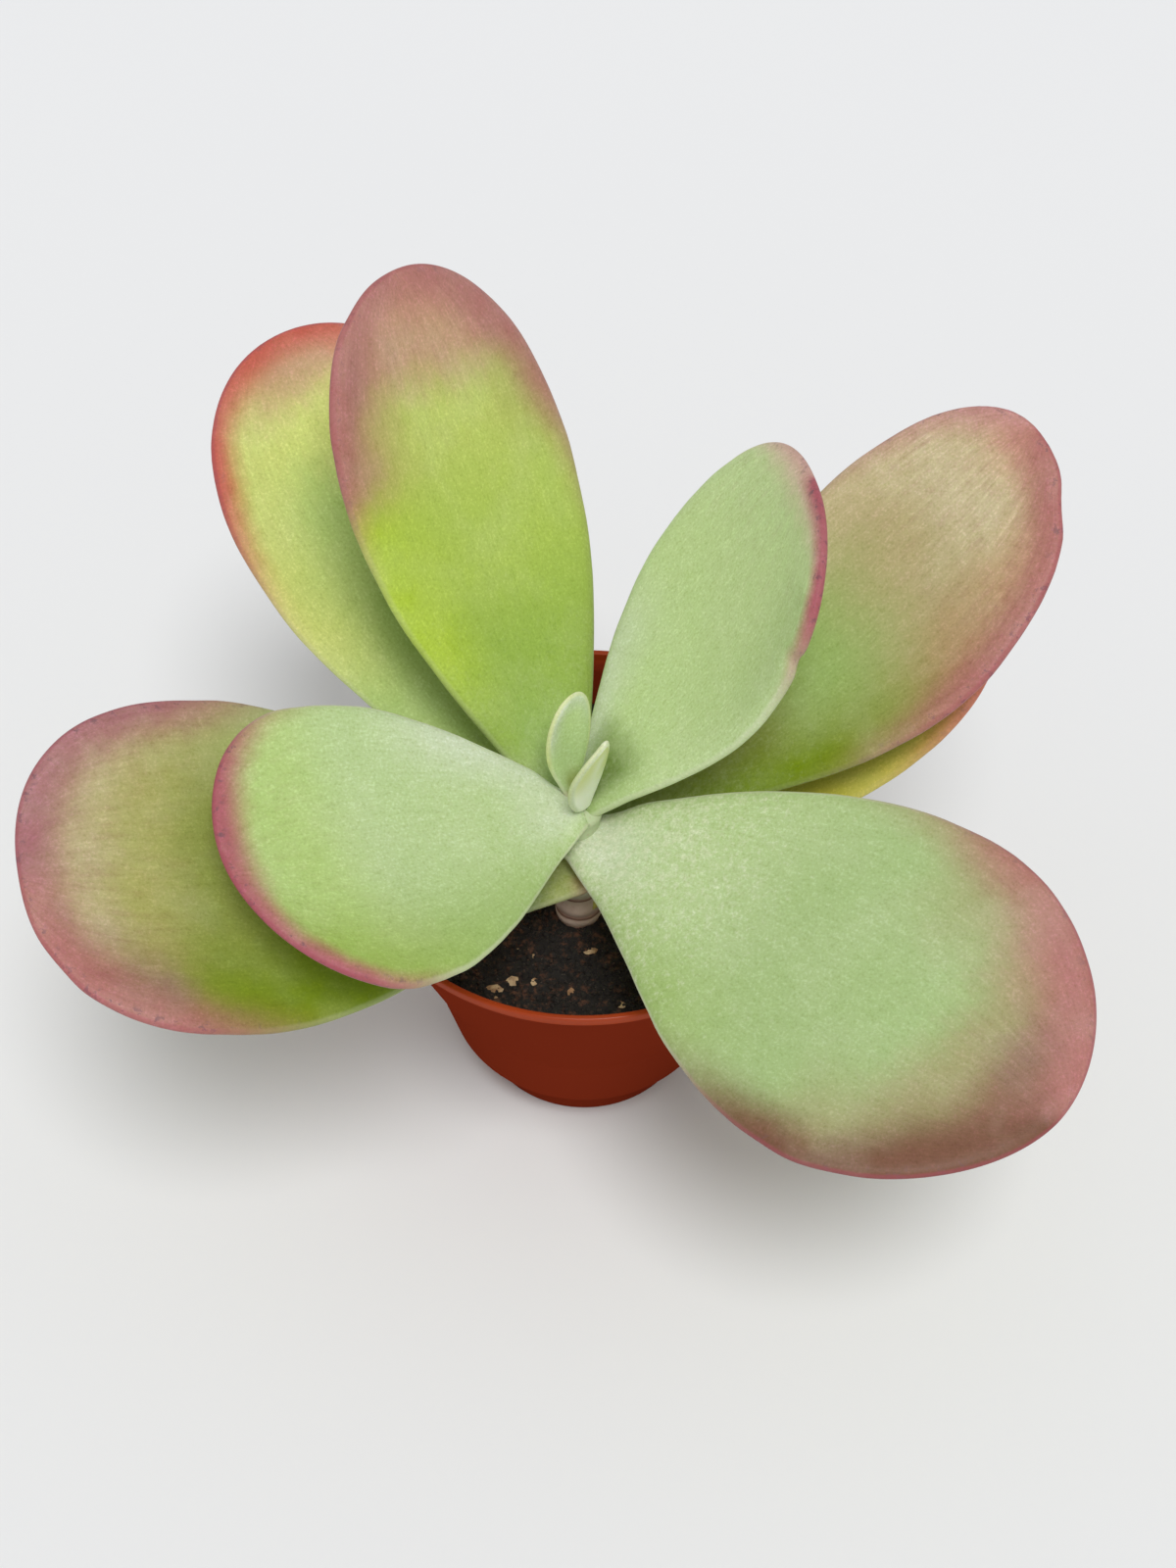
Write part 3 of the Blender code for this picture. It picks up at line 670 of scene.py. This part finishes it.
def rounded(points, radius, steps=4):
    # replaces each inner corner of a profile by a small arc, made as a quadratic curve
    made = [points[0]]
    for before, corner, after in zip(points, points[1:], points[2:]):
        a, b, c = Vector(before), Vector(corner), Vector(after)
        reach = min(radius, (a - b).length * 0.45, (c - b).length * 0.45)
        start = b + (a - b).normalized() * reach
        end = b + (c - b).normalized() * reach
        for k in range(steps + 1):
            t = k / steps
            made.append(tuple(start * (1 - t) ** 2 + b * (2 * t * (1 - t)) + end * t ** 2))
    made.append(points[-1])
    return made


def potProfile(p):
    # up the outside from the foot's centre, over the lip and down the inside, as radius and height
    foot, start, kink, lip = p["footRadius"], p["wallStartRadius"], p["kinkRadius"], p["lipRadius"]
    wall = p["wall"]
    inner = lip - p["lipWall"]
    wallTop = inner + 0.2 * mm
    lipBottom = p["height"] - p["lipHeight"]
    flare = (wallTop - kink) / (lipBottom - p["kinkHeight"])
    kinkLow, kinkHigh = p["kinkHeight"] - p["kinkSpread"], p["kinkHeight"] + p["kinkSpread"]
    groove = p["footRecess"] / 2
    rim = foot - p["footRim"]
    outside = [
        (0.0, 0.0), (p["centrePad"], 0.0), (p["centrePad"] + groove, p["footRecess"]),
        (rim, p["footRecess"]), (rim + groove, 0.0), (foot, 0.0), (foot + 0.5 * mm, p["footHeight"]),
        (start - 1.0 * mm, p["wallStart"] - 0.8 * mm), (start, p["wallStart"] + 0.8 * mm),
        (kink - p["kinkIn"], kinkLow), (kink + p["kinkOut"], kinkHigh),
        (wallTop - 0.1 * mm, lipBottom - 0.2 * mm), (lip, lipBottom), (lip, p["height"]),
    ]
    inside = [
        (inner + 0.1 * mm, p["height"]), (inner, lipBottom + 0.3 * mm),
        (wallTop - wall - flare * 1.5 * mm, lipBottom - 1.5 * mm),
        (kink + p["kinkOut"] - wall, kinkHigh), (kink - p["kinkIn"] - wall, kinkLow),
        (start - wall, p["wallStart"] + 1.2 * mm), (foot - wall + 0.5 * mm, p["footHeight"] + 0.6 * mm),
        (foot - wall, p["floorTop"]), (0.0, p["floorTop"]),
    ]
    return rounded(outside + inside, p["corner"])


def innerRadius(z):
    # inside of the pot's wall at this height
    points = potProfile(potSizes)
    heights = [height for _, height in points]
    past = points[heights.index(max(heights)) + 1:]
    walls = [(r, height) for r, height in past if height > potSizes["floorTop"]][::-1]
    for (r0, z0), (r1, z1) in zip(walls, walls[1:]):
        if z0 <= z <= z1:
            return r0 + (r1 - r0) * (z - z0) / max(z1 - z0, 1e-9)
    return walls[-1][0]


def smoothByAngle(item, degrees):
    # soft shading, with every edge sharper than this kept crisp
    mesh = item.data
    shadeSoft(mesh)
    work = bmesh.new()
    work.from_mesh(mesh)
    for edge in work.edges:
        edge.smooth = len(edge.link_faces) == 2 and edge.calc_face_angle(0.0) < math.radians(degrees)
    work.to_mesh(mesh)
    work.free()


def applyModifiers(item):
    # keeps the evaluated shape as a plain mesh
    bpy.context.view_layer.update()
    mesh = bpy.data.meshes.new_from_object(item.evaluated_get(bpy.context.evaluated_depsgraph_get()))
    item.modifiers.clear()
    item.data = mesh
    return item


def drillHoles(item, p):
    cutters = []
    for k in range(p["holes"]):
        turn = math.tau * (k + 0.5) / p["holes"]
        work = bmesh.new()
        bmesh.ops.create_cone(work, cap_ends=True, segments=p["holeSides"], radius1=p["holeRadius"],
                              radius2=p["holeRadius"], depth=p["holeCut"])
        bmesh.ops.translate(work, verts=work.verts,
                            vec=(p["holeCircle"] * math.cos(turn), p["holeCircle"] * math.sin(turn), 0.0))
        cutters.append(newObject("cutter", meshFrom(work, "cutter")))
        modifier = item.modifiers.new("hole", "BOOLEAN")
        modifier.object = cutters[-1]
        modifier.operation = "DIFFERENCE"
        modifier.solver = "EXACT"
    applyModifiers(item)
    for cutter in cutters:
        bpy.data.objects.remove(cutter, do_unlink=True)


potFinish = {
    # the lip colour is painted light: a lighter orange where the lip's top faces the light
    "wall": paint(124, 44, 24), "lip": paint(158, 60, 26), "worn": paint(124, 44, 22),
    "dust": paint(170, 110, 80), "litLipRange": (82.4 * mm, 84.2 * mm), "lipWaver": 2 * mm,
    "wornShare": 0.35, "dustRange": (0.68, 0.76), "dustShare": 0.12,
    "roughness": 0.34, "coat": 0.35, "coatRange": (83.0 * mm, 85.0 * mm), "coatRoughness": 0.25,
    "bump": 0.15, "bumpDepth": 0.1 * mm,
}


def potPlastic(finish):
    # matt moulded plastic, glossier at the lip, with painted light making the lip brighter
    material, graph, shader = newMaterial("pot_plastic")
    place = graph.place()
    _, _, z = graph.split(place)
    cloud = graph.noise(place, 40.0, 3.0) - 0.5
    fine = graph.noise(place, 700.0, 3.0, 0.6) - 0.5
    # painted light: the lip and the top of the wall take the lighter lip colour
    litLipMask = (z + cloud * finish["lipWaver"]).ease(*finish["litLipRange"])
    colour = graph.mix(litLipMask, finish["wall"], finish["lip"])
    colour = graph.mix(cloud.ease(0.0, 0.3) * finish["wornShare"], colour, finish["worn"])
    dust = graph.noise(place, 900.0, 2.0, 0.7).ease(*finish["dustRange"]) * finish["dustShare"]
    colour = graph.mix(dust, colour, finish["dust"])
    graph.feed(shader.inputs["Base Color"], colour)
    graph.feed(shader.inputs["Roughness"], (finish["roughness"] + cloud * 0.12 + fine * 0.1).clamp())
    graph.feed(shader.inputs["Coat Weight"], z.ease(*finish["coatRange"]) * finish["coat"])
    shader.inputs["Coat Roughness"].default_value = finish["coatRoughness"]
    shader.inputs["Specular IOR Level"].default_value = 0.0
    graph.bump(shader, finish["bump"], finish["bumpDepth"], graph.noise(place, 1500.0, 2.0))
    return material


pot = lathe("pot_shell", potProfile(potSizes), potSizes["steps"], potPlastic(potFinish))
drillHoles(pot, potSizes)
smoothByAngle(pot, potSizes["crisp"])
settle(pot, node="pot")
print("pot made")


# Soil: a lumpy bed, with crumbs and chips of bark scattered over it

soilSizes = {
    "top": 72.0 * mm, "gap": 0.15 * mm, "rings": 56, "steps": 192,
    "sideHeights": (4.4, 6, 13.5, 17, 38, 41, 60, 70),  # mm, one ring of points at each
    "waveX": 310, "waveY": 270, "waveDepth": 0.9 * mm, "mound": 14 * mm,
    "lumpScale": 260, "fineScale": 620, "fineShare": 0.6, "lumpDepth": 0.9 * mm,
    "crumbs": 5200, "crumbSize": 1.1 * mm, "chips": 60, "chipSize": 1.7 * mm, "scatterGap": 1.6 * mm,
}


def soilHeight(p, x, y):
    # slow waves, and a low mound at the stem's foot
    slow = math.sin(x * p["waveX"] + 1.3) * math.cos(y * p["waveY"] - 0.6)
    quick = math.sin(x * (2 * p["waveX"]) - y * (2 * p["waveY"]))
    fromStem = (x - leafShape["stemX"]) ** 2 + (y - leafShape["stemY"]) ** 2
    mound = math.exp(-fromStem / p["mound"] ** 2)
    return p["top"] + p["waveDepth"] * ((slow + 0.6 * quick) / 1.6 + mound)


def soilMaterial():
    colours = {"dark": paint(22, 16, 11), "brown": paint(84, 52, 34), "grey": paint(128, 116, 104)}
    material, graph, shader = newMaterial("soil_mix")
    place = graph.place()
    coarse = graph.noise(place, 420.0, 4.0, 0.65)
    fine = graph.noise(place, 1600.0, 3.0, 0.7)
    colour = graph.mix(coarse.ease(0.50, 0.70), colours["dark"], colours["brown"])
    colour = graph.mix(fine.ease(0.62, 0.72) * 0.5, colour, colours["grey"])
    graph.feed(shader.inputs["Base Color"], colour)
    graph.feed(shader.inputs["Roughness"], (0.85 + (fine - 0.5) * 0.3).clamp())
    graph.bump(shader, 0.8, 0.5 * mm, coarse + fine * 0.5)
    return material


def chipMaterial():
    colours = {"beige": paint(196, 168, 130), "tan": paint(150, 112, 78), "dark": paint(74, 50, 36)}
    material, graph, shader = newMaterial("bark_chips")
    place = graph.place()
    patch = graph.noise(place, 260.0, 2.0)
    fine = graph.noise(place, 1800.0, 3.0, 0.7)
    colour = graph.mix(patch.ease(0.42, 0.6), colours["tan"], colours["beige"])
    colour = graph.mix(fine.ease(0.5, 0.7) * 0.6, colour, colours["dark"])
    graph.feed(shader.inputs["Base Color"], colour)
    graph.feed(shader.inputs["Roughness"], (0.75 + (fine - 0.5) * 0.3).clamp())
    return material


def circle(radius, steps):
    turns = [math.tau * k / steps for k in range(steps)]
    return [(radius * math.cos(turn), radius * math.sin(turn)) for turn in turns]


def makeSoilBed(p, material):
    # rows of points up the pot's wall, then over the lumpy top to the middle
    rows = []
    for height in p["sideHeights"]:
        z = height * mm
        rows.append([(x, y, z) for x, y in circle(innerRadius(z) - p["gap"], p["steps"])])
    topRadius = innerRadius(p["top"]) - p["gap"]
    for ring in range(p["rings"]):
        row = []
        for x, y in circle(topRadius * (1 - ring / p["rings"]), p["steps"]):
            fine = noise.noise(Vector((x, y, 0.01)) * p["fineScale"])
            lumps = noise.noise(Vector((x, y, 0)) * p["lumpScale"]) + p["fineShare"] * fine
            row.append((x, y, soilHeight(p, x, y) + p["lumpDepth"] * lumps))
        rows.append(row)
    work = bmesh.new()
    rings = [[work.verts.new(point) for point in row] for row in rows]
    foot = work.verts.new((0, 0, rows[0][0][2]))
    crown = work.verts.new((0, 0, soilHeight(p, 0, 0)))
    for k in range(p["steps"]):
        n = (k + 1) % p["steps"]
        work.faces.new((foot, rings[0][n], rings[0][k]))
        for lower, upper in zip(rings, rings[1:]):
            work.faces.new((lower[k], lower[n], upper[n], upper[k]))
        work.faces.new((rings[-1][k], rings[-1][n], crown))
    bmesh.ops.recalc_face_normals(work, faces=work.faces)
    mesh = meshFrom(work, "soil_bed")
    shadeSoft(mesh)
    return newObject("soil_bed", mesh, material)


scatterShape = {
    "facingUp": 0.3, "dentScale": 1.7, "dentDepth": 0.9, "turn": 6.283,
    "smallest": 0.35, "smallPower": 2.2, "sizeSeed": 3,
}


def buildScatterTree(shape):
    # scatters one small lump over a surface, turned and sized at random
    labels = ("Size", "Stretch", "Flatness", "Radius", "Lean")
    others = (("Bed", "NodeSocketObject"), ("Count", "NodeSocketInt"), ("Seed", "NodeSocketInt"),
              ("Material", "NodeSocketMaterial"))
    graph, given = newGeometryTree("scatter", labels, others)
    bed = graph.node("GeometryNodeObjectInfo", None, {"Object": given["Bed"]})
    position = graph.node("GeometryNodeInputPosition").outputs[0]
    _, _, facing = graph.split(graph.node("GeometryNodeInputNormal").outputs[0])
    x, y, _ = graph.split(position)
    top = facing.above(shape["facingUp"]) * given["Radius"].above((x * x + y * y).sqrt())
    density = Number(graph, given["Count"]) / (math.pi * given["Radius"] ** 2.0)
    points = graph.node("GeometryNodeDistributePointsOnFaces", {"distribute_method": "RANDOM"},
                        {"Mesh": bed.outputs["Geometry"], "Selection": top.above(0.5), "Density": density,
                         "Seed": given["Seed"]})

    # one dented lump
    lump = graph.node("GeometryNodeMeshIcoSphere", None, {"Radius": 1.0, "Subdivisions": 1})
    rough = graph.node("ShaderNodeTexNoise", None,
                       {"Vector": position, "Scale": shape["dentScale"], "Detail": 1.0})
    centred = graph.node("ShaderNodeVectorMath", {"operation": "SUBTRACT"},
                         {0: rough.outputs[1], 1: (0.5, 0.5, 0.5)})
    dents = graph.scaled(centred.outputs[0], shape["dentDepth"])
    shaped = graph.node("GeometryNodeSetPosition", None, {"Geometry": lump.outputs[0], "Offset": dents})
    sized = graph.node("GeometryNodeTransform", None,
                       {"Geometry": shaped.outputs[0],
                        "Scale": graph.vector(given["Stretch"], 1.0, given["Flatness"])})

    # placed on the points, leaning a little and turned any way about the upright
    turn = graph.node("FunctionNodeRandomValue", {"data_type": "FLOAT_VECTOR"}, {"Seed": given["Seed"]})
    graph.feed(turn.inputs[0], graph.vector(-given["Lean"], -given["Lean"], 0.0))
    graph.feed(turn.inputs[1], graph.vector(given["Lean"], given["Lean"], shape["turn"]))
    size = graph.node("FunctionNodeRandomValue", {"data_type": "FLOAT"},
                      {2: shape["smallest"], 3: 1.0, "Seed": shape["sizeSeed"]})
    spread = Number(graph, size.outputs[1]) ** shape["smallPower"] * given["Size"]
    placed = graph.node("GeometryNodeInstanceOnPoints", None,
                        {"Points": points.outputs["Points"], "Instance": sized.outputs[0],
                         "Rotation": turn.outputs[0], "Scale": spread})
    return closeTree(graph, placed.outputs[0], given["Material"])


soilSkin = soilMaterial()
soilBed = settle(makeSoilBed(soilSizes, soilSkin), node="soil")
scatterTree = buildScatterTree(scatterShape)
soilRadius = innerRadius(soilSizes["top"]) - soilSizes["scatterGap"]
crumbs = {"Bed": soilBed, "Radius": soilRadius, "Count": soilSizes["crumbs"],
          "Size": soilSizes["crumbSize"], "Stretch": 1.2, "Flatness": 0.8, "Lean": 0.6, "Seed": 5,
          "Material": soilSkin}
settle(runTree("soil_crumbs", scatterTree, crumbs))
chips = {"Bed": soilBed, "Radius": soilRadius, "Count": soilSizes["chips"],
         "Size": soilSizes["chipSize"], "Stretch": 1.6, "Flatness": 0.28, "Lean": 0.4, "Seed": 11,
         "Material": chipMaterial()}
settle(runTree("bark_chips", scatterTree, chips))
print("soil made")


# Stem, with a swelling at each pair of leaves and rings where lower leaves fell

stemSizes = {
    "radius": 5.2 * mm, "bottom": 60.5 * mm, "top": 116.0 * mm, "dome": 3.0 * mm,
    "swelling": 0.7 * mm, "swellingReach": 1.8,  # how far it sticks out, and its half height in mm
    "nodes": (79.5, 86.5, 95.0, 103.5, 113.0), "scars": (75.5,),  # heights in mm
    "wobble": 0.05, "wobbleScale": 180, "steps": 64, "levels": 150,
}


def stemRadius(p, z):
    radius = p["radius"]
    for height in p["nodes"] + p["scars"]:
        away = (z / mm - height) / p["swellingReach"]
        radius += p["swelling"] * math.exp(-away * away)
    top = max(0.0, (z - (p["top"] - p["dome"])) / p["dome"])
    return radius * math.sqrt(max(0.0, 1 - top ** 2))


def stemSkin():
    colours = {"green": paint(186, 200, 158), "scar": paint(172, 130, 112), "beige": paint(206, 184, 168),
               "dark": paint(104, 74, 60)}
    material, graph, shader = newMaterial("stem_skin")
    place = graph.place()
    _, _, z = graph.split(place)
    cloud = graph.noise(place, 130.0, 3.0) - 0.5
    fine = graph.noise(place, 900.0, 3.0, 0.6) - 0.5
    low = (z + cloud * (6 * mm)).ease(92 * mm, 80 * mm)
    colour = graph.mix(low, colours["green"], colours["beige"])
    # a ring and a dark slit just under each low node, where a leaf fell
    for height in stemSizes["nodes"][:2] + stemSizes["scars"]:
        ring = ((z + cloud * (1.5 * mm) - (height - 2.2) * mm).abs()).ease(1.2 * mm, 0.3 * mm)
        colour = graph.mix(ring * 0.7, colour, colours["scar"])
        slit = ((z + cloud * (1.0 * mm) - (height - 2.6) * mm).abs()).ease(0.5 * mm, 0.1 * mm)
        colour = graph.mix(slit * 0.8, colour, colours["dark"])
    colour = graph.mix(fine.ease(0.0, 0.2) * 0.2, colour, colours["scar"])
    graph.feed(shader.inputs["Base Color"], colour)
    graph.feed(shader.inputs["Roughness"], (0.6 + cloud * 0.2).clamp())
    graph.bump(shader, 0.4, 0.3 * mm, fine + cloud)
    return material


def makeStem(p, material):
    profile = [(0.0, p["bottom"])]
    for k in range(p["levels"] + 1):
        z = p["bottom"] + (p["top"] - p["bottom"]) * k / p["levels"]
        profile.append((stemRadius(p, z), z))
    stem = lathe("stem_core", profile, p["steps"], material)
    for vertex in stem.data.vertices:
        x, y, z = vertex.co
        wobble = 1 + p["wobble"] * noise.noise(Vector((x, y, z)) * p["wobbleScale"])
        vertex.co = (x * wobble + leafShape["stemX"], y * wobble + leafShape["stemY"], z)
    shadeSoft(stem.data)
    return stem


settle(makeStem(stemSizes, stemSkin()), node="stem")
print("stem made")


# Floor, light and camera

studio = {
    "target": (0.001, 0.0, 0.1017), "distance": 0.65, "elevation": 50.7,
    "sensor": 36, "focal": 2740 / 1600,  # focal length over the frame's height
    "world": 0.52, "backdrop": 0.80, "key": 1.68, "keyFrom": (0.10, -0.44, 1.0), "keySpread": 20,
    "floorSide": 40.0, "floorDark": paint(233, 234, 236), "floorLight": paint(235, 236, 237),
}


def makeFloor():
    mesh = bpy.data.meshes.new("floor")
    side = studio["floorSide"]
    corners = [(-side, -side, 0), (side, -side, 0), (side, side, 0), (-side, side, 0)]
    mesh.from_pydata(corners, [], [(0, 1, 2, 3)])
    material, graph, shader = newMaterial("floor_paper")
    shade = graph.noise(graph.place(), 3.0, 2.0)
    colour = graph.mix(shade, studio["floorDark"], studio["floorLight"])
    graph.feed(shader.inputs["Base Color"], colour)
    shader.inputs["Roughness"].default_value = 0.9
    shader.inputs["Specular IOR Level"].default_value = 0.1
    newObject("floor", mesh, material)


def addKeyLight():
    light = bpy.data.lights.new("key_light", "SUN")
    light.energy = studio["key"]
    light.angle = math.radians(studio["keySpread"])
    item = bpy.data.objects.new("key_light", light)
    bpy.context.scene.collection.objects.link(item)
    item.rotation_euler = Vector(studio["keyFrom"]).to_track_quat("Z", "Y").to_euler()


makeFloor()
addKeyLight()
world = bpy.data.worlds.new("studio")
world.use_nodes = True
sky = Graph(world.node_tree)
seen = Number(sky, sky.node("ShaderNodeLightPath").outputs["Is Camera Ray"])
background = world.node_tree.nodes["Background"]
background.inputs["Color"].default_value = (1.0, 1.0, 1.0, 1.0)
sky.feed(background.inputs["Strength"], seen * (studio["backdrop"] - studio["world"]) + studio["world"])
bpy.context.scene.world = world

tilt = math.radians(studio["elevation"])
target = Vector(studio["target"])
view = bpy.data.cameras.new("camera")
view.lens = studio["focal"] * studio["sensor"]
view.sensor_width = studio["sensor"]
camera = bpy.data.objects.new("camera", view)
bpy.context.scene.collection.objects.link(camera)
camera.location = target + Vector((0, -math.cos(tilt), math.sin(tilt))) * studio["distance"]
camera.rotation_euler = (target - camera.location).to_track_quat("-Z", "Y").to_euler()
bpy.context.scene.camera = camera
bpy.context.scene.view_settings.view_transform = "Standard"
print("studio made")
